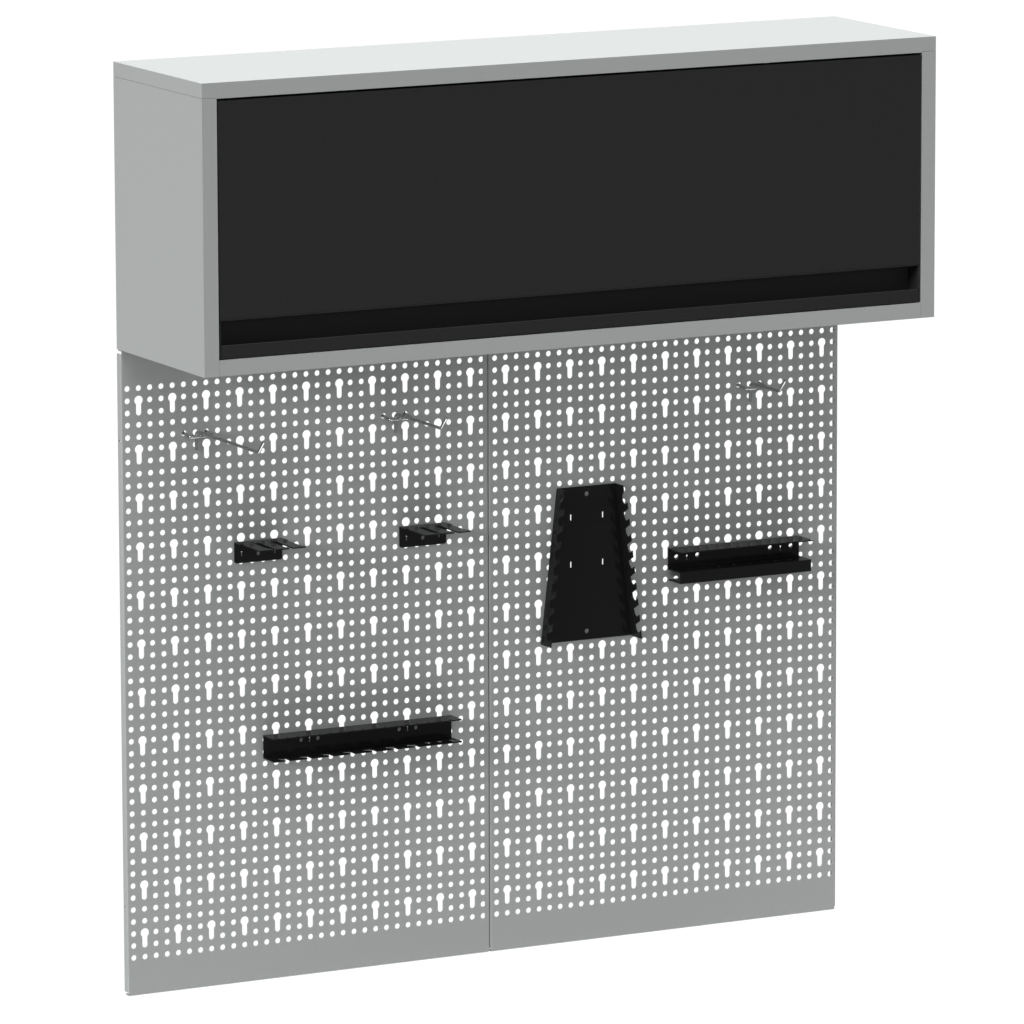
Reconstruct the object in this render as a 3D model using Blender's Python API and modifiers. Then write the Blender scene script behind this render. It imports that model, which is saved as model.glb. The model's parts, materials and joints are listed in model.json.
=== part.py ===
"""Pegboard tool wall: a wall cabinet with a lift-up door over two perforated steel panels,
hung with wire hooks, pliers holders, a wrench rack, a screwdriver shelf and a tool rail.
Metres, +Z up, +X to the right, the front faces -Y and the wall is the plane y = 0."""
import math

import bmesh
import bpy
from mathutils import Matrix, Vector

# Cabinet box
HALF_WIDTH = 0.49785
DEPTH = 0.250
HALF_HEIGHT = 0.1745
SHEET = 0.0012
GAP = 0.0003
STILE_INNER = 0.4787
LIP_BOTTOM = 0.1553
SIDE_TOP = 0.1562
SIDE_LIP_BOTTOM = 0.1565
RETURN_BACK = -0.2300

# Lift-up door
AXIS_Y = -0.2440
AXIS_Z = 0.1470
DOOR_HALF_WIDTH = 0.4772
DOOR_FRONT = -0.2495
DOOR_BACK = -0.2310
DOOR_TOP = 0.1525
DOOR_SPLIT = -0.1070
GRIP_BOTTOM = -0.1538
GRIP_LIP_TOP = -0.1380
GRIP_BACK = -0.2225
GRIP_WALL = 0.0015
PIN_RADIUS = 0.0022

# Gas struts, offsets (y, z) from the door axis
STRUT_X = 0.4620
STRUT_BASE = (0.110, -0.190)
STRUT_END = (0.033, -0.040)
STRUT_LENGTH = math.dist(STRUT_BASE, STRUT_END)
STRUT_LEAN = math.atan2(STRUT_BASE[0] - STRUT_END[0], STRUT_END[1] - STRUT_BASE[1])

# Perforated panels
PITCH = 0.015
PANEL_WIDTH = 0.4966
PANEL_TOP = -0.1750
PANEL_BOTTOM = -0.9750
PANEL_DEPTH = 0.0110
PANEL_SHEET = 0.0015
SEAM = 0.00125
SEAM_REACH = 0.0009
MARGIN = 0.0083
FIRST_ROW = -0.2225
HOLE_RADIUS = 0.0036
KEY_RADIUS = 0.0058
SLOT_HALF = 0.0036
BOLT_Y = -0.0050
BOLT_ROWS = (4.45, 42.8)
PANEL_SCREW_Y = -0.0055
PANEL_SCREWS = (-0.40, -0.10, 0.10, 0.40)

# Hung accessories
WIRE = 0.0020
HOLDER_BACK = -0.0113
HOLDER_SHEET = 0.0015
HOLDER_FRONT = HOLDER_BACK - HOLDER_SHEET
FIN_HALF = 0.00075
SLIT_HALF = 0.0010
FIN_OFFSET = -0.0019
RACK_TOP_HALF = 0.04215
RACK_BOTTOM_HALF = 0.06495
RACK_HEIGHT = 0.1956
RACK_EDGE = math.hypot(RACK_HEIGHT, RACK_BOTTOM_HALF - RACK_TOP_HALF)
RACK_TEETH = 9
RACK_SPACING = 0.02072

# Colour, roughness and metallic of each finish
FINISHES = {
    "body_grey": ((0.36, 0.38, 0.37), 0.55, 0.0),
    "door_black": ((0.020, 0.020, 0.020), 0.60, 0.0),
    "holder_black": ((0.015, 0.015, 0.016), 0.35, 0.0),
    "chrome_wire": ((0.75, 0.76, 0.77), 0.12, 1.0),
    "zinc_parts": ((0.55, 0.56, 0.57), 0.35, 1.0),
    "nylon": ((0.03, 0.03, 0.03), 0.50, 0.0),
    "rubber": ((0.02, 0.02, 0.02), 0.85, 0.0),
    "strut_black": ((0.012, 0.012, 0.013), 0.30, 0.0),
}

PLANES = {
    "X": Matrix(((0, 0, 1), (1, 0, 0), (0, 1, 0))),
    "Y": Matrix(((1, 0, 0), (0, 0, -1), (0, 1, 0))),
    "Z": Matrix.Identity(3),
}
DIRECTIONS = {"X": Vector((1, 0, 0)), "Y": Vector((0, 1, 0)), "Z": Vector((0, 0, 1))}


def row_z(row):
    return FIRST_ROW - PITCH * row


def left_x(column):
    return -SEAM - PANEL_WIDTH + MARGIN + PITCH * column


def right_x(column):
    return SEAM + MARGIN + PITCH * column


def circle(a, b, radius, count=16):
    """Points round a circle, starting half a step off the axis."""
    angles = [math.tau * (i + 0.5) / count for i in range(count)]
    return [(a + radius * math.cos(t), b + radius * math.sin(t)) for t in angles]


def rectangle(a0, b0, a1, b1):
    return [(a0, b0), (a1, b0), (a1, b1), (a0, b1)]


def keyhole(a, b):
    """A round entry with a narrower slot running down one row below it."""
    start = math.asin(SLOT_HALF / KEY_RADIUS)
    turns = [-math.pi / 2 + start + (math.tau - 2 * start) * i / 14 for i in range(15)]
    head = [(a + KEY_RADIUS * math.cos(t), b + KEY_RADIUS * math.sin(t)) for t in turns]
    ends = [math.pi + math.pi * i / 8 for i in range(9)]
    foot = [(a + SLOT_HALF * math.cos(t), b - PITCH + SLOT_HALF * math.sin(t)) for t in ends]
    return head + foot


def strip(path, thickness):
    """Outline of a bent sheet: the path is one face, the other lies to its left."""
    normals = []
    for (a0, b0), (a1, b1) in zip(path, path[1:]):
        length = math.hypot(a1 - a0, b1 - b0)
        normals.append(((b0 - b1) / length, (a1 - a0) / length))
    offset = []
    for i, (a, b) in enumerate(path):
        before = normals[max(i - 1, 0)]
        after = normals[min(i, len(normals) - 1)]
        scale = thickness / (1 + before[0] * after[0] + before[1] * after[1])
        offset.append((a + (before[0] + after[0]) * scale, b + (before[1] + after[1]) * scale))
    return list(path) + offset[::-1]


def clean(mesh):
    """Joins the doubled cap corners and turns every face outwards."""
    work = bmesh.new()
    work.from_mesh(mesh)
    bmesh.ops.remove_doubles(work, verts=work.verts, dist=1e-6)
    bmesh.ops.recalc_face_normals(work, faces=work.faces)
    work.to_mesh(mesh)
    work.free()


def prism(name, outlines, axis, low, high):
    """Flat outlines swept along an axis; an outline inside another is a hole."""
    curve = bpy.data.curves.new(name, "CURVE")
    curve.dimensions = "2D"
    curve.fill_mode = "BOTH"
    curve.extrude = abs(high - low) / 2
    for outline in outlines:
        spline = curve.splines.new("POLY")
        spline.points.add(len(outline) - 1)
        for point, (a, b) in zip(spline.points, outline):
            point.co = (a, b, 0, 1)
        spline.use_cyclic_u = True
    drawn = bpy.data.objects.new(name + "_outline", curve)
    bpy.context.scene.collection.objects.link(drawn)
    bpy.context.view_layer.update()
    graph = bpy.context.evaluated_depsgraph_get()
    mesh = bpy.data.meshes.new_from_object(drawn.evaluated_get(graph))
    mesh.name = name
    bpy.data.objects.remove(drawn)
    bpy.data.curves.remove(curve)
    middle = DIRECTIONS[axis] * ((low + high) / 2)
    mesh.transform(Matrix.Translation(middle) @ PLANES[axis].to_4x4())
    clean(mesh)
    return bpy.data.objects.new(name, mesh)


def block(name, low, high):
    """A rectangular solid between two corners."""
    mesh = bpy.data.meshes.new(name)
    work = bmesh.new()
    bmesh.ops.create_cube(work, size=1.0)
    low = Vector(low)
    high = Vector(high)
    bmesh.ops.scale(work, vec=high - low, verts=work.verts)
    bmesh.ops.translate(work, vec=(low + high) / 2, verts=work.verts)
    work.to_mesh(mesh)
    work.free()
    return bpy.data.objects.new(name, mesh)


def turned(name, profile, place, steps=16):
    """A round piece: (radius, height) pairs from the top end down, spun about their Z, then placed."""
    mesh = bpy.data.meshes.new(name)
    points = [(radius, 0, height) for radius, height in profile]
    mesh.from_pydata(points, [(i, i + 1) for i in range(len(points) - 1)], [])
    piece = bpy.data.objects.new(name, mesh)
    spin = piece.modifiers.new("spin", "SCREW")
    spin.steps = steps
    spin.render_steps = steps
    spin.use_merge_vertices = True
    spin.merge_threshold = 0.00001
    spin.use_smooth_shade = True
    piece.matrix_world = place
    return piece


def along(axis, sign, origin):
    """Places a turned piece so that its own Z points along an axis."""
    aim = (DIRECTIONS[axis] * sign).to_track_quat("Z", "Y").to_matrix().to_4x4()
    return Matrix.Translation(Vector(origin)) @ aim


def rounded(path, radius, steps=3):
    """A path with its corners turned into short arcs."""
    points = [Vector(p) for p in path]
    result = [points[0]]
    for before, corner, after in zip(points, points[1:], points[2:]):
        towards = (before - corner).normalized()
        away = (after - corner).normalized()
        half = towards.angle(away) / 2
        reach = radius / math.tan(half)
        reach = min(reach, 0.45 * (before - corner).length, 0.45 * (after - corner).length)
        bend = reach * math.tan(half)
        centre = corner + (towards + away).normalized() * (bend / math.sin(half))
        start = (corner + towards * reach - centre).normalized()
        end = (corner + away * reach - centre).normalized()
        for i in range(steps + 1):
            result.append(centre + start.slerp(end, i / steps) * bend)
    result.append(points[-1])
    return result


def wire(name, path):
    """A round bent wire with closed ends."""
    curve = bpy.data.curves.new(name, "CURVE")
    curve.dimensions = "3D"
    curve.bevel_depth = WIRE
    curve.bevel_resolution = 2
    curve.use_fill_caps = True
    spline = curve.splines.new("POLY")
    spline.points.add(len(path) - 1)
    for point, place in zip(spline.points, path):
        point.co = (place[0], place[1], place[2], 1)
    spline.use_smooth = True
    return bpy.data.objects.new(name, curve)


def combine(piece, tool, operation):
    """Cuts the tool from the piece or joins it on."""
    CUTTERS.objects.link(tool)
    tool.hide_render = True
    tool.display_type = "WIRE"
    change = piece.modifiers.new(tool.name, "BOOLEAN")
    change.operation = operation
    change.solver = "EXACT"
    change.object = tool


def cut(piece, tool):
    combine(piece, tool, "DIFFERENCE")


def join(piece, tool):
    combine(piece, tool, "UNION")


def axis_point(name, place):
    """An empty on a joint axis that carries the moving pieces."""
    empty = bpy.data.objects.new(name, None)
    empty.empty_display_size = 0.01
    empty.location = place
    WALL.objects.link(empty)
    return empty


def finish(piece, slot, carrier=None):
    """Gives a piece its own material and hangs it on the point that carries it."""
    colour, roughness, metallic = FINISHES[slot]
    material = bpy.data.materials.new(piece.name)
    material.use_nodes = True
    shader = material.node_tree.nodes["Principled BSDF"]
    shader.inputs["Base Color"].default_value = (*colour, 1)
    shader.inputs["Roughness"].default_value = roughness
    shader.inputs["Metallic"].default_value = metallic
    piece.data.materials.append(material)
    WALL.objects.link(piece)
    if carrier:
        piece.parent = carrier
        piece.matrix_parent_inverse = Matrix.Translation(-carrier.location)


def tray(name, low, high, wall, back):
    """A folded pan: a block hollowed from the face at y or z = back, towards its closed wall."""
    piece = block(name, low, high)
    inner_low = [value + wall for value in low]
    inner_high = [value - wall for value in high]
    axis, end = back
    if end > 0:
        inner_high[axis] = high[axis] + 0.005
    else:
        inner_low[axis] = low[axis] - 0.005
    cut(piece, block(name + "_hollow", inner_low, inner_high))
    return piece


def cabinet_top():
    piece = tray("cabinet_top", (-HALF_WIDTH, -DEPTH, LIP_BOTTOM), (HALF_WIDTH, 0, HALF_HEIGHT), SHEET, (2, -1))
    wide = HALF_WIDTH + 0.01
    inner = STILE_INNER - GAP
    front = -DEPTH + SHEET
    trim = [(-wide, -DEPTH - 0.01), (-inner, -DEPTH - 0.01), (-inner, front), (inner, front)]
    trim += [(inner, -DEPTH - 0.01), (wide, -DEPTH - 0.01), (wide, 0.01), (-wide, 0.01)]
    cut(piece, prism("cabinet_top_trim", [trim], "Z", LIP_BOTTOM - 0.005, SIDE_LIP_BOTTOM))
    finish(piece, "body_grey")


def cabinet_side(side, name):
    """Outer wall, front stile with its return, and a back flange, folded from one sheet."""
    path = [(STILE_INNER, RETURN_BACK), (STILE_INNER, -DEPTH), (HALF_WIDTH, -DEPTH)]
    path += [(HALF_WIDTH, 0), (0.4800, 0)]
    outline = [(side * a, b) for a, b in strip(path, SHEET)]
    piece = prism(name, [outline], "Z", -HALF_HEIGHT, SIDE_TOP)
    ends = sorted((side * 0.4775, side * 0.4960))
    floor_z = -HALF_HEIGHT + SHEET + GAP
    low = (ends[0], -DEPTH + SHEET + 0.0001, -HALF_HEIGHT - 0.005)
    high = (ends[1], RETURN_BACK + 0.005, floor_z)
    cut(piece, block(name + "_floor_relief", low, high))
    hole = prism(name + "_pin_hole", [circle(AXIS_Y, AXIS_Z, 0.0025)], "X", side * 0.4770, side * 0.4820)
    cut(piece, hole)
    finish(piece, "body_grey")


def cabinet_bottom():
    """Floor sheet with the front rail and its return folded up between the stiles."""
    half = HALF_WIDTH - SHEET - GAP
    path = [(-0.2350, LIP_BOTTOM * -1 + 0.0001), (-DEPTH, -LIP_BOTTOM + 0.0001)]
    path += [(-DEPTH, -HALF_HEIGHT), (-SHEET - GAP, -HALF_HEIGHT)]
    piece = prism("cabinet_bottom", [strip(path, SHEET)], "X", -half, half)
    edge = -DEPTH + SHEET + GAP
    floor_z = -HALF_HEIGHT + SHEET + GAP / 2
    corner = [(-0.2530, -0.1780), (edge, -0.1780), (edge, floor_z), (-0.2290, floor_z)]
    corner += [(-0.2290, -0.1500), (-0.2530, -0.1500)]
    cut(piece, prism("bottom_corner_left", [corner], "X", -0.5010, -STILE_INNER + GAP))
    cut(piece, prism("bottom_corner_right", [corner], "X", STILE_INNER - GAP, 0.5010))
    holes = [circle(x, PANEL_SCREW_Y, 0.0023) for x in PANEL_SCREWS]
    cut(piece, prism("bottom_screw_holes", holes, "Z", -HALF_HEIGHT - 0.002, -HALF_HEIGHT + SHEET + 0.002))
    finish(piece, "body_grey")


def cabinet_back():
    outline = rectangle(-0.4797, -HALF_HEIGHT, 0.4797, SIDE_TOP)
    holes = [circle(x, z, 0.0040) for x in (-0.40, 0.40) for z in (-0.12, 0.12)]
    finish(prism("cabinet_back", [outline] + holes, "Y", -SHEET, 0), "body_grey")


def pivot_pin(side, name):
    """Headed pin pressed through the stile return, pointing into the door end."""
    profile = [(0, 0.0022), (0.0040, 0.0022), (0.0040, 0), (PIN_RADIUS, 0), (PIN_RADIUS, -0.0110), (0, -0.0110)]
    place = along("X", side, (side * 0.4802, AXIS_Y, AXIS_Z))
    finish(turned(name, profile, place), "zinc_parts")


def strut_base(side, name):
    """Plate on the side wall with the stud that the strut's lower eye turns on."""
    profile = [(0, 0.0), (0.0120, 0.0), (0.0120, -0.0016), (0.0042, -0.0016), (0.0042, -0.0295)]
    profile += [(0.0025, -0.0295), (0.0025, -0.0393), (0, -0.0393)]
    origin = (side * 0.4963, AXIS_Y + STRUT_BASE[0], AXIS_Z + STRUT_BASE[1])
    finish(turned(name, profile, along("X", side, origin)), "zinc_parts")


def door_stop(side, name):
    ends = sorted((side * 0.440, side * 0.460))
    low = (ends[0], GRIP_BACK + GAP, -HALF_HEIGHT + SHEET + GAP)
    high = (ends[1], GRIP_BACK + GAP + 0.010, -0.1500)
    finish(block(name, low, high), "rubber")


def door_front(carrier):
    """Front pan of the door with the pivot holes in its ends."""
    low = (-DOOR_HALF_WIDTH, DOOR_FRONT, DOOR_SPLIT)
    high = (DOOR_HALF_WIDTH, DOOR_BACK, DOOR_TOP)
    piece = tray("door_front", low, high, SHEET, (1, 1))
    bore = prism("door_pivot_bore", [circle(AXIS_Y, AXIS_Z, 0.0041)], "X", -0.5, 0.5)
    cut(piece, bore)
    finish(piece, "door_black", carrier)


def door_liner(carrier):
    low = (-DOOR_HALF_WIDTH, DOOR_BACK + GAP, DOOR_SPLIT)
    high = (DOOR_HALF_WIDTH, DOOR_BACK + GAP + SHEET, DOOR_TOP)
    finish(block("door_liner", low, high), "door_black", carrier)


def grip_rail(carrier):
    """Channel along the door's bottom edge, open to the front above a low lip."""
    top = DOOR_SPLIT - GAP
    path = [(DOOR_FRONT, GRIP_LIP_TOP), (DOOR_FRONT, GRIP_BOTTOM), (GRIP_BACK, GRIP_BOTTOM)]
    path += [(GRIP_BACK, top), (DOOR_FRONT, top)]
    half = DOOR_HALF_WIDTH - GRIP_WALL - GAP
    finish(prism("grip_rail", [strip(path, GRIP_WALL)], "X", -half, half), "door_black", carrier)


def grip_end_cap(side, name, carrier):
    ends = sorted((side * DOOR_HALF_WIDTH, side * (DOOR_HALF_WIDTH - GRIP_WALL)))
    low = (ends[0], DOOR_FRONT, GRIP_BOTTOM)
    high = (ends[1], GRIP_BACK, DOOR_SPLIT - GAP)
    finish(block(name, low, high), "door_black", carrier)


def pivot_bush(side, name, carrier):
    """Nylon bush in the door end that runs on the pivot pin."""
    rings = [circle(AXIS_Y, AXIS_Z, 0.0038), circle(AXIS_Y, AXIS_Z, 0.0025)]
    finish(prism(name, rings, "X", side * 0.4700, side * 0.4780), "nylon", carrier)


def strut_bracket(side, name, carrier):
    """Angle on the door's back that faces the strut's upper end."""
    foot = DOOR_BACK + GAP + SHEET + GAP
    centre_y = AXIS_Y + STRUT_END[0]
    centre_z = AXIS_Z + STRUT_END[1]
    path = [(0.4300, foot), (0.4545, foot), (0.4545, centre_y + 0.0070)]
    outline = [(side * a, b) for a, b in strip(path, 0.0015)]
    piece = prism(name, [outline], "Z", centre_z - 0.015, centre_z + 0.015)
    finish(piece, "zinc_parts", carrier)


def strut_frame():
    """Turns a piece drawn with the strut along Z from the base eye into its place."""
    return Matrix.Rotation(STRUT_LEAN, 4, "X")


def strut_place(side):
    origin = Vector((side * STRUT_X, AXIS_Y + STRUT_BASE[0], AXIS_Z + STRUT_BASE[1]))
    return Matrix.Translation(origin) @ strut_frame()


def strut_cylinder(side, name, carrier):
    """Gas cylinder with its bore for the rod and the lower eye."""
    profile = [(0, 0.0270), (0.0033, 0.0270), (0.0033, 0.1220), (0.0075, 0.1220), (0.0075, 0.0120)]
    profile += [(0.0035, 0.0120), (0.0035, 0.0040), (0, 0.0040)]
    piece = turned(name, profile, strut_place(side))
    eye = prism(name + "_eye", [circle(0, 0, 0.0060), circle(0, 0, 0.0029)], "X", -0.0040, 0.0040)
    eye.matrix_world = strut_place(side)
    join(piece, eye)
    finish(piece, "strut_black", carrier)


def strut_rod(side, name, carrier):
    """Piston rod with the upper eye and the pin that faces the door bracket."""
    profile = [(0, STRUT_LENGTH - 0.003), (0.0030, STRUT_LENGTH - 0.003), (0.0030, 0.0300), (0, 0.0300)]
    piece = turned(name, profile, strut_place(side))
    steps = [(0, 0.0040), (0.0060, 0.0040), (0.0060, -0.0040), (0.0025, -0.0040)]
    steps += [(0.0025, -0.0072), (0, -0.0072)]
    origin = (side * STRUT_X, AXIS_Y + STRUT_END[0], AXIS_Z + STRUT_END[1])
    join(piece, turned(name + "_eye", steps, along("X", side, origin)))
    finish(piece, "zinc_parts", carrier)


def perforated_panel(name, x_of, round_holes, keyholes):
    """Panel folded back on its four edges, with the holes that carry the accessories."""
    start = x_of(0) - MARGIN
    end = start + PANEL_WIDTH
    if start < 0:
        end += SEAM_REACH
    else:
        start -= SEAM_REACH
    low = (start, -PANEL_DEPTH, PANEL_BOTTOM)
    high = (end, 0, PANEL_TOP)
    piece = tray(name, low, high, PANEL_SHEET, (1, 1))
    outlines = [circle(x_of(c), row_z(r), HOLE_RADIUS) for c, r in round_holes]
    outlines += [keyhole(x_of(c), row_z(r)) for c, r in keyholes]
    cut(piece, prism(name + "_holes", outlines, "Y", -PANEL_DEPTH - 0.002, -PANEL_DEPTH + PANEL_SHEET + 0.002))
    rows = [circle(BOLT_Y, row_z(r), 0.0023) for r in BOLT_ROWS]
    seam_x = low[0] if low[0] > 0 else high[0]
    cut(piece, prism(name + "_bolt_holes", rows, "X", seam_x - 0.004, seam_x + 0.004))
    screws = [circle(x, PANEL_SCREW_Y, 0.0023) for x in PANEL_SCREWS if low[0] < x < high[0]]
    cut(piece, prism(name + "_screw_holes", screws, "Z", PANEL_TOP - 0.004, PANEL_TOP + 0.002))
    finish(piece, "body_grey")


def bolt(name, place, length, head):
    """Pan-head machine screw, its head above the seat plane."""
    profile = [(0, 0.0022), (head * 0.8, 0.0022), (head, 0.0012), (head, 0)]
    profile += [(0.0020, 0), (0.0020, -length), (0, -length)]
    finish(turned(name, profile, place, 14), "zinc_parts")


def nut(name, axis, centre, low, high):
    outer = circle(*centre, 0.0035, 6)
    finish(prism(name, [outer, circle(*centre, 0.0023, 14)], axis, low, high), "zinc_parts")


def fasteners():
    wall = SEAM - SEAM_REACH + PANEL_SHEET + GAP
    for count, row in enumerate(BOLT_ROWS, 1):
        place = along("X", -1, (-wall, BOLT_Y, row_z(row)))
        bolt(f"joining_bolt_{count}", place, 2 * wall + 0.0032, 0.0034)
        nut(f"joining_nut_{count}", "X", (BOLT_Y, row_z(row)), wall, wall + 0.0026)
    seat = -HALF_HEIGHT + SHEET + GAP
    under = PANEL_TOP - PANEL_SHEET - GAP
    for count, x in enumerate(PANEL_SCREWS, 1):
        place = along("Z", 1, (x, PANEL_SCREW_Y, seat))
        bolt(f"panel_screw_{count}", place, seat - under + 0.0032, 0.0033)
        nut(f"panel_nut_{count}", "Z", (x, PANEL_SCREW_Y), under - 0.0026, under)


def hook_crossbar(name, left, right, row, carrier):
    """Bar across the front whose ends pass through two holes and turn up behind the sheet."""
    bar_y = -PANEL_DEPTH - 0.018
    level = row_z(row) - 0.0005
    half = []
    for x in (left, right):
        half.append([(x, -0.0062, row_z(row) + 0.0095), (x, -0.0062, level), (x, -0.0135, level)])
    bar = row_z(row) - 0.00255
    path = half[0] + [(left, bar_y, bar), (right, bar_y, bar)] + half[1][::-1]
    finish(wire(name, rounded(path, 0.0028)), "chrome_wire", carrier)


def hook_arm(name, x, row, reach, carrier):
    """Arm lying on the crossbar, with a tail down the sheet and an upturned tip."""
    level = row_z(row) + 0.0018
    front = -PANEL_DEPTH
    path = [(x, front - 0.0024, row_z(row + 1.45)), (x, front - 0.0024, level - 0.004)]
    path += [(x, front - 0.0075, level), (x, front - reach, level)]
    path += [(x, front - reach - 0.0155, level + 0.0155)]
    finish(wire(name, rounded(path, 0.0045)), "chrome_wire", carrier)


def hook(name, x_of, column, row, reach):
    carrier = axis_point(name + "_axis", (x_of(column), -PANEL_DEPTH + PANEL_SHEET / 2, row_z(row) - 0.0005))
    hook_crossbar(name + "_crossbar", x_of(column - 1), x_of(column + 1), row, carrier)
    hook_arm(name + "_arm", x_of(column), row, reach, carrier)


def fin(name, x, top_row, bottom_row):
    """Hooked tab that passes through a keyhole slot and drops behind the sheet."""
    top = row_z(top_row)
    bottom = row_z(bottom_row)
    tip = row_z(bottom_row + 0.43)
    inside = HOLDER_BACK - 0.0007
    behind = -PANEL_DEPTH + PANEL_SHEET + GAP
    back = behind + 0.0020
    outline = [(inside, top), (back, top), (back, tip), (behind, tip), (behind, bottom), (inside, bottom)]
    return prism(name, [outline], "X", x - FIN_HALF, x + FIN_HALF)


def slit(x, z, height):
    return rectangle(x - SLIT_HALF, z - height / 2, x + SLIT_HALF, z + height / 2)


def pliers_slots(x):
    """Gaps between the three fingers, the right edge of each finger ending in a barb."""
    front = HOLDER_BACK - 0.0692
    root = -PANEL_DEPTH - 0.018
    edge = [(0.0075, -0.0635), (0.0082, -0.0695), (0.0095, -0.0735), (0.0115, -0.0765), (0.0095, -0.0797)]
    gaps = []
    for centre in (-0.0225, 0.0, 0.0225):
        right = [(x + centre + a, b) for a, b in edge]
        far = x + centre + 0.0150
        if centre > 0:
            far = x + 0.0340
        gap = [(x + centre + 0.0075, root), *right, (x + centre + 0.0095, front - 0.004)]
        gap += [(far, front - 0.004), (far, root)]
        gaps.append(gap)
    gaps.append(rectangle(x - 0.0340, front - 0.004, x - 0.0300, root))
    return gaps


def pliers_holder(name, x, slits):
    carrier = axis_point(name + "_rest", (x, HOLDER_BACK, row_z(14)))
    top = row_z(13.33)
    bottom = row_z(15.10)
    front = -PANEL_DEPTH - 0.0685
    path = [(HOLDER_BACK, bottom), (HOLDER_BACK, top), (front, top)]
    piece = prism(name, [strip(path, HOLDER_SHEET)], "X", x - 0.03225, x + 0.03225)
    cut(piece, prism(name + "_gaps", pliers_slots(x), "Z", top - 0.003, top + 0.002))
    marks = [circle(x, row_z(14.44), 0.0025, 12)]
    marks += [slit(a, row_z(14.36), 0.0063) for a in slits]
    for sign in (-1, 1):
        edge = x + sign * 0.03225
        far = x + sign * 0.0360
        marks.append([(edge - sign * 0.002, bottom), (edge, bottom + 0.002), (far, bottom + 0.002),
                      (far, bottom - 0.004), (edge - sign * 0.002, bottom - 0.004)])
    cut(piece, prism(name + "_marks", marks, "Y", HOLDER_FRONT - 0.002, HOLDER_BACK + 0.002))
    for count, a in enumerate(slits, 1):
        join(piece, fin(f"{name}_fin_{count}", a + FIN_OFFSET, 13.72, 14.10))
    finish(piece, "holder_black", carrier)


def rack_flange_outline():
    """Side of the wrench rack as (y, distance down the edge): a plain top, then hooked teeth."""
    face = -PANEL_DEPTH
    inside = HOLDER_BACK - 0.0004
    points = [(inside, 0), (face - 0.0200, 0), (face - 0.0200, -0.0075)]
    for tooth in range(RACK_TEETH):
        tip = -0.0206 - RACK_SPACING * tooth
        heel = tip - 0.0085 if tooth < RACK_TEETH - 1 else -RACK_EDGE
        points += [(face - 0.0135, tip + 0.0053), (face - 0.0142, tip - 0.0002)]
        points += [(face - 0.0175, tip - 0.0036), (face - 0.0222, tip - 0.0031)]
        points += [(face - 0.0267, tip), (face - 0.0267, heel)]
    points.append((inside, -RACK_EDGE))
    return points


def wrench_rack(x):
    name = "wrench_rack"
    carrier = axis_point(name + "_rest", (x, HOLDER_BACK, row_z(17)))
    top = row_z(11.38)
    bottom = top - RACK_HEIGHT
    upper = RACK_TOP_HALF - 0.0006
    lower = RACK_BOTTOM_HALF - 0.0006
    outline = [(x - upper, top), (x + upper, top), (x + lower, bottom + 0.0003), (x - lower, bottom + 0.0003)]
    slits = [(x + a, row_z(b)) for a in (-1.5 * PITCH, 1.5 * PITCH) for b in (13.93, 17.92)]
    holes = [circle(x, row_z(12.045), 0.0031), circle(x, row_z(23.68), 0.0031)]
    holes += [slit(a, b, 0.0075) for a, b in slits]
    piece = prism(name, [outline], "Y", HOLDER_FRONT, HOLDER_BACK)
    lean = math.atan2(lower - upper, RACK_HEIGHT)
    for side, label in ((-1, "left"), (1, "right")):
        flange = prism(f"{name}_{label}_flange", [rack_flange_outline()], "X", side * -HOLDER_SHEET, 0)
        turn = Matrix.Rotation(side * -lean, 4, "Y")
        flange.matrix_world = Matrix.Translation((x + side * RACK_TOP_HALF, 0, top - 0.0002)) @ turn
        join(piece, flange)
    cut(piece, prism(name + "_marks", holes, "Y", HOLDER_FRONT - 0.002, HOLDER_BACK + 0.002))
    for count, (a, b) in enumerate(slits, 1):
        row = (FIRST_ROW - b) / PITCH
        join(piece, fin(f"{name}_fin_{count}", a + FIN_OFFSET, row - 0.24, row + 0.10))
    finish(piece, "holder_black", carrier)


def screwdriver_shelf(x):
    name = "screwdriver_shelf"
    carrier = axis_point(name + "_rest", (x, HOLDER_BACK, row_z(18)))
    half = 0.09415
    top = row_z(17.33)
    level = row_z(19.05)
    low = row_z(20.05)
    face = -PANEL_DEPTH
    path = [(face - 0.0022, low), (face - 0.03324, low), (face - 0.03324, level)]
    path += [(HOLDER_BACK, level), (HOLDER_BACK, top), (face - 0.0368, top)]
    bent = shelf_section(path)
    piece = prism(name, [bent], "X", x - half, x + half)
    marks = [circle(x + a * PITCH, row_z(18.15), 0.00325) for a in (-5.5, -3.5, 3.5, 5.5)]
    marks += [slit(x + a * PITCH, row_z(18.26), 0.0068) for a in (-4.5, 4.5)]
    cut(piece, prism(name + "_marks", marks, "Y", HOLDER_FRONT - 0.002, HOLDER_BACK + 0.002))
    radii = (0.0035, 0.0035, 0.0040, 0.0040, 0.0045, 0.0045, 0.0050, 0.0050)
    spots = [circle(x - 0.0735 + 0.021 * i, face - 0.0170, r) for i, r in enumerate(radii)]
    cut(piece, prism(name + "_tool_holes", spots, "Z", low - 0.002, level + 0.002))
    for count, a in enumerate((-0.5, 2.5), 1):
        join(piece, fin(f"{name}_fin_{count}", x + a * PITCH, 17.72, 18.10))
    finish(piece, "holder_black", carrier)


def shelf_section(path):
    """The shelf's bends run both ways, so its two faces are given by one signed offset."""
    t = HOLDER_SHEET
    (a0, b0), (a1, b1), (a2, b2), (a3, b3), (a4, b4), (a5, b5) = path
    inner = [(a0, b0 + t), (a1 + t, b1 + t), (a2 + t, b2 - t), (a3, b3 - t)]
    outer = [(a5, b5), (a5, b5 - t), (a4 - t, b4 - t), (a3 - t, b3), (a2, b2), (a1, b1), (a0, b0)]
    return inner + [(a4, b4)] + outer


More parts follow.
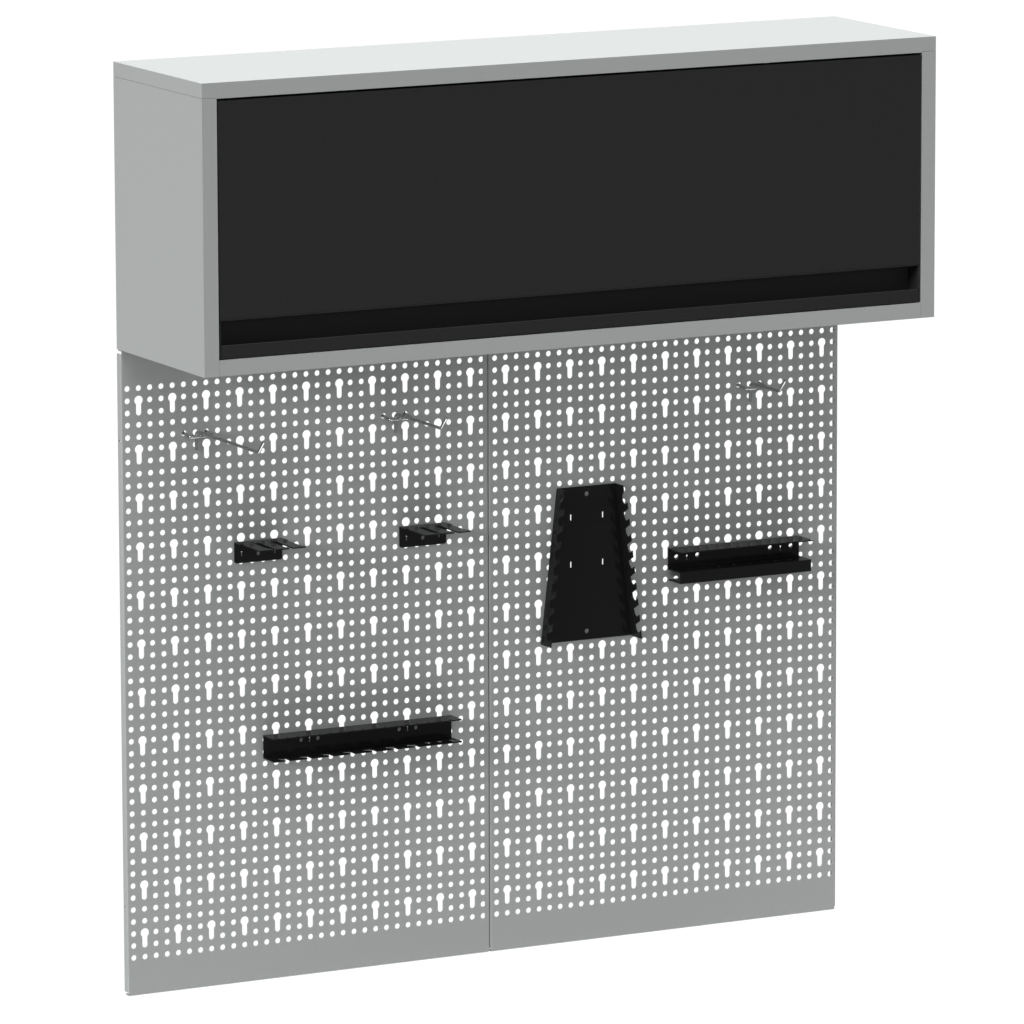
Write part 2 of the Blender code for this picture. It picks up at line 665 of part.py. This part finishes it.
def rail_notches(x):
    """Open notches along the front edge of the rail's lower flange."""
    face = -PANEL_DEPTH
    notches = []
    for i in range(7):
        a = x - 0.1293 + 0.0224 + 0.0294 * i
        notch = [(a, face - 0.0345), (a, face - 0.0178), (a - 0.0016, face - 0.0158)]
        notch += [(a - 0.0085, face - 0.0150), (a - 0.0115, face - 0.0165), (a - 0.0125, face - 0.0200)]
        notch += [(a - 0.0105, face - 0.0240), (a - 0.0065, face - 0.0278), (a - 0.0050, face - 0.0345)]
        notches.append(notch)
    return notches


def tool_rail(x, slits):
    name = "tool_rail"
    carrier = axis_point(name + "_rest", (x, HOLDER_BACK, row_z(30)))
    top = row_z(29.60)
    bottom = row_z(31.55)
    face = -PANEL_DEPTH
    path = [(face - 0.0305, bottom), (HOLDER_BACK, bottom), (HOLDER_BACK, top), (face - 0.0300, top)]
    piece = prism(name, [strip(path, HOLDER_SHEET)], "X", x - 0.1293, x + 0.1293)
    marks = [circle(a + b, row_z(30.33), 0.0026, 12) for a in slits for b in (-0.0115, 0.0115)]
    marks += [slit(a, row_z(30.37), 0.0064) for a in slits]
    cut(piece, prism(name + "_marks", marks, "Y", HOLDER_FRONT - 0.002, HOLDER_BACK + 0.002))
    holes = rail_notches(x)
    holes += [circle(x + 0.0886 + 0.0168 * i, face - 0.0165, 0.0050) for i in range(3)]
    cut(piece, prism(name + "_notches", holes, "Z", bottom - 0.002, bottom + HOLDER_SHEET + 0.002))
    for count, a in enumerate(slits, 1):
        join(piece, fin(f"{name}_fin_{count}", a + FIN_OFFSET, 29.74, 30.12))
    finish(piece, "holder_black", carrier)


def door():
    carrier = axis_point("door_axis", (0, AXIS_Y, AXIS_Z))
    door_front(carrier)
    door_liner(carrier)
    grip_rail(carrier)
    for side, label in ((-1, "left"), (1, "right")):
        grip_end_cap(side, f"grip_end_cap_{label}", carrier)
        pivot_bush(side, f"pivot_bush_{label}", carrier)
        strut_bracket(side, f"strut_bracket_{label}", carrier)


def struts():
    for side, label in ((-1, "left"), (1, "right")):
        origin = (side * STRUT_X, AXIS_Y + STRUT_BASE[0], AXIS_Z + STRUT_BASE[1])
        carrier = axis_point(f"strut_{label}_axis", origin)
        strut_cylinder(side, f"strut_cylinder_{label}", carrier)
        strut_rod(side, f"strut_rod_{label}", carrier)


def cabinet():
    cabinet_top()
    cabinet_bottom()
    cabinet_back()
    for side, label in ((-1, "left"), (1, "right")):
        cabinet_side(side, f"cabinet_side_{label}")
        pivot_pin(side, f"pivot_pin_{label}")
        strut_base(side, f"strut_base_{label}")
        door_stop(side, f"door_stop_{label}")


def panels():
    hook_holes = [(5, 4), (7, 4), (23, 4), (25, 4)]
    left_keys = [(10, 13), (13, 13), (25, 13), (28, 13), (16, 29), (25, 29)]
    perforated_panel("perforated_panel_left", left_x, hook_holes, left_keys)
    right_keys = [(7, 13), (10, 13), (7, 17), (10, 17), (22, 17), (25, 17)]
    perforated_panel("perforated_panel_right", right_x, [(23, 4), (25, 4)], right_keys)
    fasteners()


def accessories():
    hook("hook_1", left_x, 6, 4, 0.1780)
    hook("hook_2", left_x, 24, 4, 0.1265)
    hook("hook_3", right_x, 24, 4, 0.0768)
    pliers_holder("pliers_holder_left", left_x(11.5), (left_x(10), left_x(13)))
    pliers_holder("pliers_holder_right", left_x(26.5), (left_x(25), left_x(28)))
    wrench_rack(right_x(8.5))
    screwdriver_shelf(right_x(22.5))
    tool_rail(-0.1832, (left_x(16), left_x(25)))


for leftover in list(bpy.data.objects):
    bpy.data.objects.remove(leftover)
WALL = bpy.data.collections.new("pegboard_tool_wall")
CUTTERS = bpy.data.collections.new("cutters")
CUTTERS.hide_render = True
bpy.context.scene.collection.children.link(WALL)
bpy.context.scene.collection.children.link(CUTTERS)
cabinet()
door()
struts()
panels()
accessories()
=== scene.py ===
"""Looks of the pegboard tool wall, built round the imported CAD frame.
Metres, +Z up, +X to the right, the front faces -Y and the wall is the plane y = 0."""

import json
import math

import bmesh
import bpy
from mathutils import Matrix, Vector


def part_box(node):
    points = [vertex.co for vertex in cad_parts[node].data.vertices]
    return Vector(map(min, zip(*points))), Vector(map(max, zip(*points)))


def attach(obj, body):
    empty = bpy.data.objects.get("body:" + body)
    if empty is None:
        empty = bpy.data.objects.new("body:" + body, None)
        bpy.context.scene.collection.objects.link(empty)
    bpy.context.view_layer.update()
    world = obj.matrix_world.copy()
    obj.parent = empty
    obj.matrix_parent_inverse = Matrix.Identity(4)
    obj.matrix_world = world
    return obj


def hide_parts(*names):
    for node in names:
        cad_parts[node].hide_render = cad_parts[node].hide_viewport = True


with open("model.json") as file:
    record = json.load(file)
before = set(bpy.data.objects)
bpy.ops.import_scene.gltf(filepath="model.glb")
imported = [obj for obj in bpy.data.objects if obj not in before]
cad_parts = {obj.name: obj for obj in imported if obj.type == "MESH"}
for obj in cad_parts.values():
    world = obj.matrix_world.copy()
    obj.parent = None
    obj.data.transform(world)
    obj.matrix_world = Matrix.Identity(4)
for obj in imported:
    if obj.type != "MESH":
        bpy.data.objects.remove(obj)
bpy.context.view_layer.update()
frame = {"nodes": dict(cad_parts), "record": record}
nodes = frame["nodes"]

# Perforation of the panels
PITCH = 0.015
COLUMNS = 33
ROWS = 48
KEY_STEP_X = 3
KEY_STEP_Z = 4
HOLE_RADIUS = 0.0036
KEY_RADIUS = 0.0058
SLOT_HALF = 0.0036
FIRST_ROW_DROP = 0.0475
SHEET = 0.0015
OUTER_MARGIN = 0.0083
BEND = 0.0016
RELIEF = 0.0030
BOLT_ROWS = (4.45, 42.8)
BOLT_HOLE = 0.0023
BOLT_SET_BACK = 0.0060

# Camera: place, yaw from +Y towards +X, pitch, roll, and focal length in picture widths
CAMERA_PLACE = Vector((-4.2572, -8.3116, 1.2571))
CAMERA_YAW = 0.47701
CAMERA_PITCH = -0.17736
CAMERA_ROLL = -0.00318
CAMERA_FOCAL = 7.4617
SENSOR = 36.0

# Studio: the surroundings light the front more than the back, and look white behind the object
FLOOR_Z = -2.10
FLOOR_SIZE = 2.6
AMBIENT_FRONT = 0.24
AMBIENT_BACK = 0.10
AMBIENT_BLEND = 0.3
BACKDROP = 1.05

# Suns: name, direction the light travels, strength, width in degrees
SUNS = (
    ("top", (0.10, 0.06, -1.0), 5.4, 50.0),
    ("left", (1.0, 0.20, -0.30), 1.75, 14.0),
    ("front", (0.20, 0.95, -0.22), 0.28, 14.0),
)

# Radius of the rounded edges for each finish; the others keep the edges of the CAD
EDGE_RADIUS = {"body_grey": 0.0002, "door_black": 0.0005, "holder_black": 0.0003, "rubber": 0.0010}
WELD = 0.000002
FLAT_LIMIT = math.radians(1.0)

# Part of the noise range that a finish is spread over
NOISE_LOW = 0.3
NOISE_HIGH = 0.7


class Surface:
    """A node material under construction, with the few links every finish here needs."""

    def __init__(self, name):
        self.material = bpy.data.materials.new(name)
        self.material.use_nodes = True
        self.tree = self.material.node_tree
        self.shader = self.tree.nodes["Principled BSDF"]
        self.place = self.tree.nodes.new("ShaderNodeTexCoord").outputs["Object"]

    def set(self, **values):
        for name, value in values.items():
            self.shader.inputs[name.replace("_", " ")].default_value = value

    def noise(self, scale, detail=2.0, stretch=None):
        source = self.place
        if stretch:
            mapping = self.tree.nodes.new("ShaderNodeMapping")
            mapping.inputs["Scale"].default_value = stretch
            self.tree.links.new(source, mapping.inputs["Vector"])
            source = mapping.outputs["Vector"]
        node = self.tree.nodes.new("ShaderNodeTexNoise")
        node.inputs["Scale"].default_value = scale
        node.inputs["Detail"].default_value = detail
        self.tree.links.new(source, node.inputs["Vector"])
        return node.outputs["Fac"]

    def spread(self, source, low, high):
        node = self.tree.nodes.new("ShaderNodeMapRange")
        node.inputs["From Min"].default_value = NOISE_LOW
        node.inputs["From Max"].default_value = NOISE_HIGH
        node.inputs["To Min"].default_value = low
        node.inputs["To Max"].default_value = high
        self.tree.links.new(source, node.inputs["Value"])
        return node.outputs["Result"]

    def colours(self, source, dark, light):
        ramp = self.tree.nodes.new("ShaderNodeValToRGB")
        ramp.color_ramp.elements[0].position = NOISE_LOW
        ramp.color_ramp.elements[0].color = (*dark, 1)
        ramp.color_ramp.elements[1].position = NOISE_HIGH
        ramp.color_ramp.elements[1].color = (*light, 1)
        self.tree.links.new(source, ramp.inputs["Fac"])
        self.tree.links.new(ramp.outputs["Color"], self.shader.inputs["Base Color"])

    def roughness(self, source, low, high):
        self.tree.links.new(self.spread(source, low, high), self.shader.inputs["Roughness"])

    def bump(self, sources, distance):
        total = sources[0]
        for source in sources[1:]:
            add = self.tree.nodes.new("ShaderNodeMath")
            add.operation = "ADD"
            self.tree.links.new(total, add.inputs[0])
            self.tree.links.new(source, add.inputs[1])
            total = add.outputs[0]
        node = self.tree.nodes.new("ShaderNodeBump")
        node.inputs["Distance"].default_value = distance
        node.inputs["Strength"].default_value = 1.0
        self.tree.links.new(total, node.inputs["Height"])
        self.tree.links.new(node.outputs["Normal"], self.shader.inputs["Normal"])


def powder_coat(name, dark, light, rough, grain=0.00006, level=0.4):
    """Powder coat: a fine speck of colour under a slightly coarser orange peel."""
    surface = Surface(name)
    surface.set(Metallic=0.0, IOR=1.45)
    surface.shader.inputs["Specular IOR Level"].default_value = level
    speck = surface.noise(1400.0, 3.0)
    peel = surface.noise(420.0, 2.0)
    surface.colours(speck, dark, light)
    surface.roughness(peel, rough[0], rough[1])
    surface.bump([speck, peel], grain)
    return surface.material


def plated(name, colour, rough, stretch=None, grain=0.000008):
    """Bright plating with faint drawing marks."""
    surface = Surface(name)
    surface.set(Metallic=1.0)
    marks = surface.noise(260.0, 3.0, stretch)
    surface.colours(marks, tuple(c * 0.9 for c in colour), colour)
    surface.roughness(marks, rough[0], rough[1])
    surface.bump([marks], grain)
    return surface.material


def moulded(name, dark, light, rough, scale=900.0):
    """Moulded rubber or nylon with a fine matt texture."""
    surface = Surface(name)
    surface.set(Metallic=0.0)
    grain = surface.noise(scale, 3.0)
    surface.colours(grain, dark, light)
    surface.roughness(grain, rough[0], rough[1])
    surface.bump([grain], 0.00005)
    return surface.material


MATERIALS = {
    "body_grey": powder_coat(
        "body_grey", (0.395, 0.412, 0.406), (0.440, 0.457, 0.451), (0.50, 0.62), level=0.3
    ),
    "door_black": powder_coat(
        "door_black", (0.0150, 0.0150, 0.0152), (0.0215, 0.0215, 0.0218), (0.50, 0.66), level=0.35
    ),
    "holder_black": powder_coat(
        "holder_black", (0.0100, 0.0100, 0.0103), (0.0140, 0.0140, 0.0144), (0.07, 0.12), 0.000006, 0.25
    ),
    "chrome_wire": plated("chrome_wire", (0.62, 0.63, 0.64), (0.03, 0.07), grain=0.000002),
    "zinc_parts": plated("zinc_parts", (0.62, 0.63, 0.64), (0.28, 0.42), (1.0, 1.0, 6.0)),
    "nylon": moulded("nylon", (0.018, 0.018, 0.018), (0.030, 0.030, 0.030), (0.40, 0.55)),
    "rubber": moulded("rubber", (0.010, 0.010, 0.010), (0.022, 0.022, 0.022), (0.75, 0.92), 500.0),
    "strut_black": powder_coat(
        "strut_black", (0.007, 0.007, 0.007), (0.011, 0.011, 0.011), (0.12, 0.22), 0.00001, 0.5
    ),
}
SLOTS = {part["node"]: part["material_slot"] for part in frame["record"]["subparts"]}
BODIES = {name: body for body, names in frame["record"]["behaviour"]["bodies"].items() for name in names}


def adopt(piece, *replaced):
    """Gives a piece the finish and the body of the CAD nodes it stands for."""
    slot = SLOTS[replaced[0]]
    piece.data.materials.clear()
    piece.data.materials.append(MATERIALS[slot])
    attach(piece, BODIES[replaced[0]])
    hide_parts(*replaced)


def new_piece(name, mesh):
    piece = bpy.data.objects.new(name, mesh)
    bpy.context.scene.collection.objects.link(piece)
    return piece


def softened(node, radius, segments, smooth_angle):
    """The CAD shape with its folded and cut edges rounded."""
    mesh = nodes[node].data.copy()
    mesh.name = node + "_look"
    work = bmesh.new()
    work.from_mesh(mesh)
    bmesh.ops.remove_doubles(work, verts=work.verts, dist=WELD)
    bmesh.ops.dissolve_limit(work, angle_limit=FLAT_LIMIT, verts=work.verts, edges=work.edges)
    bmesh.ops.recalc_face_normals(work, faces=work.faces)
    for face in work.faces:
        face.smooth = True
    for edge in work.edges:
        edge.smooth = edge.calc_face_angle(0.0) < math.radians(smooth_angle)
    work.to_mesh(mesh)
    work.free()
    piece = new_piece(node + "_look", mesh)
    if radius:
        bevel = piece.modifiers.new("edges", "BEVEL")
        bevel.width = radius
        bevel.segments = segments
        bevel.limit_method = "ANGLE"
        bevel.angle_limit = math.radians(smooth_angle)
        bevel.harden_normals = True
    adopt(piece, node)


def circle(a, b, radius, count=16):
    angles = [math.tau * i / count for i in range(count)]
    return [(a + radius * math.cos(t), b + radius * math.sin(t)) for t in angles]


def keyhole(a, b):
    """Round entry with a slot to the row below, anticlockwise from the lower right of the slot's foot."""
    eighth = math.pi / 8
    shoulder = math.acos(SLOT_HALF / KEY_RADIUS)
    entry = [-shoulder] + [eighth * i for i in range(-1, 10)] + [math.pi + shoulder]
    points = [(a + KEY_RADIUS * math.cos(t), b + KEY_RADIUS * math.sin(t)) for t in entry]
    foot = [math.pi + eighth * i for i in range(9)]
    return points + [(a + SLOT_HALF * math.cos(t), b - PITCH + SLOT_HALF * math.sin(t)) for t in foot]


class Panel:
    """One perforated panel drawn as its outer face, which a Solidify modifier turns into sheet."""

    def __init__(self, node):
        low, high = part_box(node)
        self.low = low
        self.high = high
        self.node = node
        self.work = bmesh.new()
        self.seen = {}
        self.first_x = low.x + OUTER_MARGIN
        if low.x > 0:
            self.first_x = high.x - OUTER_MARGIN - PITCH * (COLUMNS - 1)
        self.first_z = high.z - FIRST_ROW_DROP

    def vertex(self, point):
        key = tuple(round(value * 1e6) for value in point)
        if key not in self.seen:
            self.seen[key] = self.work.verts.new(point)
        return self.seen[key]

    def face(self, points):
        self.work.faces.new([self.vertex(p) for p in points])

    def pierced(self, corners, hole, anchors, lift):
        """Faces between an outline and a hole, each from one corner to the next."""
        count = len(hole)
        for i, corner in enumerate(corners):
            j = (i + 1) % len(corners)
            start = anchors[i]
            end = anchors[j]
            steps = (end - start) % count
            arc = [hole[(start + k) % count] for k in range(steps + 1)]
            self.face([lift(p) for p in [corner, corners[j]] + arc[::-1]])

    def front(self, point):
        return (point[0], self.low.y, point[1])

    def edges_x(self, column):
        """Left and right edge of a column's cells; the outer ones stop at the bend."""
        x = self.first_x + PITCH * column
        left = self.low.x + BEND if column == 0 else x - PITCH / 2
        right = self.high.x - BEND if column == COLUMNS - 1 else x + PITCH / 2
        return left, right

    def perforate(self):
        for column in range(COLUMNS):
            left, right = self.edges_x(column)
            x = self.first_x + PITCH * column
            row = 0
            while row < ROWS:
                z = self.first_z - PITCH * row
                top = z + PITCH / 2
                if column % KEY_STEP_X == 1 and row % KEY_STEP_Z == 1:
                    corners = [(right, top - PITCH), (right, top), (left, top), (left, top - PITCH)]
                    corners += [(left, top - 2 * PITCH), (right, top - 2 * PITCH)]
                    self.pierced(corners, keyhole(x, z), [0, 4, 8, 12, 15, 19], self.front)
                    row += 2
                else:
                    corners = [(left, top - PITCH), (right, top - PITCH), (right, top), (left, top)]
                    self.pierced(corners, circle(x, z, HOLE_RADIUS), [10, 14, 2, 6], self.front)
                    row += 1

    def bend(self, flat, outward, reach):
        """Points down a folded edge, from the flat face round the bend to the flange's end."""
        points = []
        for i in range(5):
            t = math.pi / 2 * i / 4
            points.append((flat + outward * BEND * math.sin(t), self.low.y + BEND * (1 - math.cos(t))))
        points.append((flat + outward * BEND, reach))
        return points

    def plain_bands(self):
        """Flat strips above and below the perforation, then the four folded edges."""
        left = self.low.x + BEND
        right = self.high.x - BEND
        field_top = self.first_z + PITCH / 2
        field_bottom = self.first_z - PITCH * (ROWS - 1) - PITCH / 2
        marks = [left] + [self.edges_x(c)[1] for c in range(COLUMNS)]
        ends = ((field_top, self.high.z - BEND, 1), (field_bottom, self.low.z + BEND, -1))
        for near, far, sign in ends:
            stop = far - sign * RELIEF
            inner = [self.front((x, near)) for x in marks]
            outer = [(right, stop), (right, far), (left, far), (left, stop)]
            ring = inner + [self.front(p) for p in outer]
            self.face(ring if sign > 0 else ring[::-1])
            profile = self.bend(far, sign, self.high.y)
            for (z0, y0), (z1, y1) in zip(profile, profile[1:]):
                quad = [(left, y0, z0), (right, y0, z0), (right, y1, z1), (left, y1, z1)]
                self.face(quad if sign > 0 else quad[::-1])
        self.side_flanges(left, right, field_top, field_bottom)

    def side_flanges(self, left, right, field_top, field_bottom):
        levels = [self.high.z - BEND - RELIEF]
        levels += [field_top - PITCH * r for r in range(ROWS + 1)]
        levels += [self.low.z + BEND + RELIEF]
        bolts = [self.first_z - PITCH * r for r in BOLT_ROWS]
        for flat, sign in ((left, -1), (right, 1)):
            profile = self.bend(flat, sign, self.high.y)
            for z0, z1 in zip(levels, levels[1:]):
                cells = list(zip(profile, profile[1:]))
                for (x0, y0), (x1, y1) in cells[:-1]:
                    quad = [(x0, y0, z1), (x1, y1, z1), (x1, y1, z0), (x0, y0, z0)]
                    self.face(quad if sign > 0 else quad[::-1])
                self.flange_cell(profile[-1][0], sign, profile[-2][1], z0, z1, bolts)

    def flange_cell(self, x, sign, near, top, bottom, bolts):
        corners = [(near, bottom), (self.high.y, bottom), (self.high.y, top), (near, top)]
        bolt = [b for b in bolts if bottom < b < top]
        if not bolt:
            ring = [(x, y, z) for y, z in corners]
            self.face(ring if sign > 0 else ring[::-1])
            return
        middle = min(max(bolt[0], bottom + 0.0030), top - 0.0030)
        hole = circle(self.low.y + BOLT_SET_BACK, middle, BOLT_HOLE)
        if sign > 0:
            self.pierced(corners, hole, [10, 14, 2, 6], lambda p: (x, p[0], p[1]))
        else:
            corners = corners[::-1]
            anchors = [(15 - k) % 16 for k in (6, 2, 14, 10)]
            self.pierced(corners, hole[::-1], anchors, lambda p: (x, p[0], p[1]))

    def finish(self):
        self.perforate()
        self.plain_bands()
        mesh = bpy.data.meshes.new(self.node + "_look")
        self.work.to_mesh(mesh)
        self.work.free()
        piece = new_piece(self.node + "_look", mesh)
        sheet = piece.modifiers.new("sheet", "SOLIDIFY")
        sheet.thickness = SHEET
        sheet.offset = -1.0
        sheet.use_even_offset = True
        adopt(piece, self.node)


def build_pieces():
    for node in ("perforated_panel_left", "perforated_panel_right"):
        Panel(node).finish()
    for node, slot in SLOTS.items():
        if node.startswith("perforated_panel"):
            continue
        segments = 3 if slot == "rubber" else 2
        smooth_angle = 50 if slot == "chrome_wire" else 40
        softened(node, EDGE_RADIUS.get(slot, 0.0), segments, smooth_angle)


def studio():
    bpy.ops.mesh.primitive_plane_add(size=FLOOR_SIZE, location=(0, 0, FLOOR_Z))
    floor = bpy.context.object
    floor.name = "floor"
    surface = Surface("floor")
    surface.colours(surface.noise(3.0), (0.88, 0.88, 0.88), (0.90, 0.90, 0.90))
    surface.set(Roughness=0.9)
    floor.data.materials.append(surface.material)
    for name, aim, strength, width in SUNS:
        lamp = bpy.data.lights.new(name, "SUN")
        lamp.energy = strength
        lamp.angle = math.radians(width)
        holder = bpy.data.objects.new(name, lamp)
        holder.rotation_euler = Vector(aim).to_track_quat("-Z", "Y").to_euler()
        bpy.context.scene.collection.objects.link(holder)
    surroundings()
    bpy.context.scene.view_settings.view_transform = "Standard"


def surroundings():
    """White where the camera sees them; dimmer as light, and dimmer still from behind the wall."""
    world = bpy.data.worlds.new("studio")
    world.use_nodes = True
    bpy.context.scene.world = world
    tree = world.node_tree
    background = tree.nodes["Background"]
    background.inputs["Color"].default_value = (1, 1, 1, 1)
    place = tree.nodes.new("ShaderNodeTexCoord")
    split = tree.nodes.new("ShaderNodeSeparateXYZ")
    around = tree.nodes.new("ShaderNodeMapRange")
    around.inputs["From Min"].default_value = -AMBIENT_BLEND
    around.inputs["From Max"].default_value = AMBIENT_BLEND
    around.inputs["To Min"].default_value = AMBIENT_FRONT
    around.inputs["To Max"].default_value = AMBIENT_BACK
    path = tree.nodes.new("ShaderNodeLightPath")
    level = tree.nodes.new("ShaderNodeMapRange")
    level.inputs["To Max"].default_value = BACKDROP
    tree.links.new(place.outputs["Generated"], split.inputs["Vector"])
    tree.links.new(split.outputs["Y"], around.inputs["Value"])
    tree.links.new(around.outputs["Result"], level.inputs["To Min"])
    tree.links.new(path.outputs["Is Camera Ray"], level.inputs["Value"])
    tree.links.new(level.outputs["Result"], background.inputs["Strength"])


def camera():
    yaw = Vector((math.sin(CAMERA_YAW), math.cos(CAMERA_YAW), 0))
    ahead = yaw * math.cos(CAMERA_PITCH) + Vector((0, 0, math.sin(CAMERA_PITCH)))
    right = Vector((yaw.y, -yaw.x, 0))
    up = right.cross(ahead)
    turned_right = right * math.cos(CAMERA_ROLL) + up * math.sin(CAMERA_ROLL)
    turned_up = up * math.cos(CAMERA_ROLL) - right * math.sin(CAMERA_ROLL)
    data = bpy.data.cameras.new("camera")
    data.sensor_width = SENSOR
    data.lens = CAMERA_FOCAL * SENSOR
    data.clip_end = 100.0
    holder = bpy.data.objects.new("camera", data)
    axes = Matrix((turned_right, turned_up, -ahead)).transposed()
    holder.matrix_world = Matrix.Translation(CAMERA_PLACE) @ axes.to_4x4()
    bpy.context.scene.collection.objects.link(holder)
    bpy.context.scene.camera = holder


build_pieces()
studio()
camera()
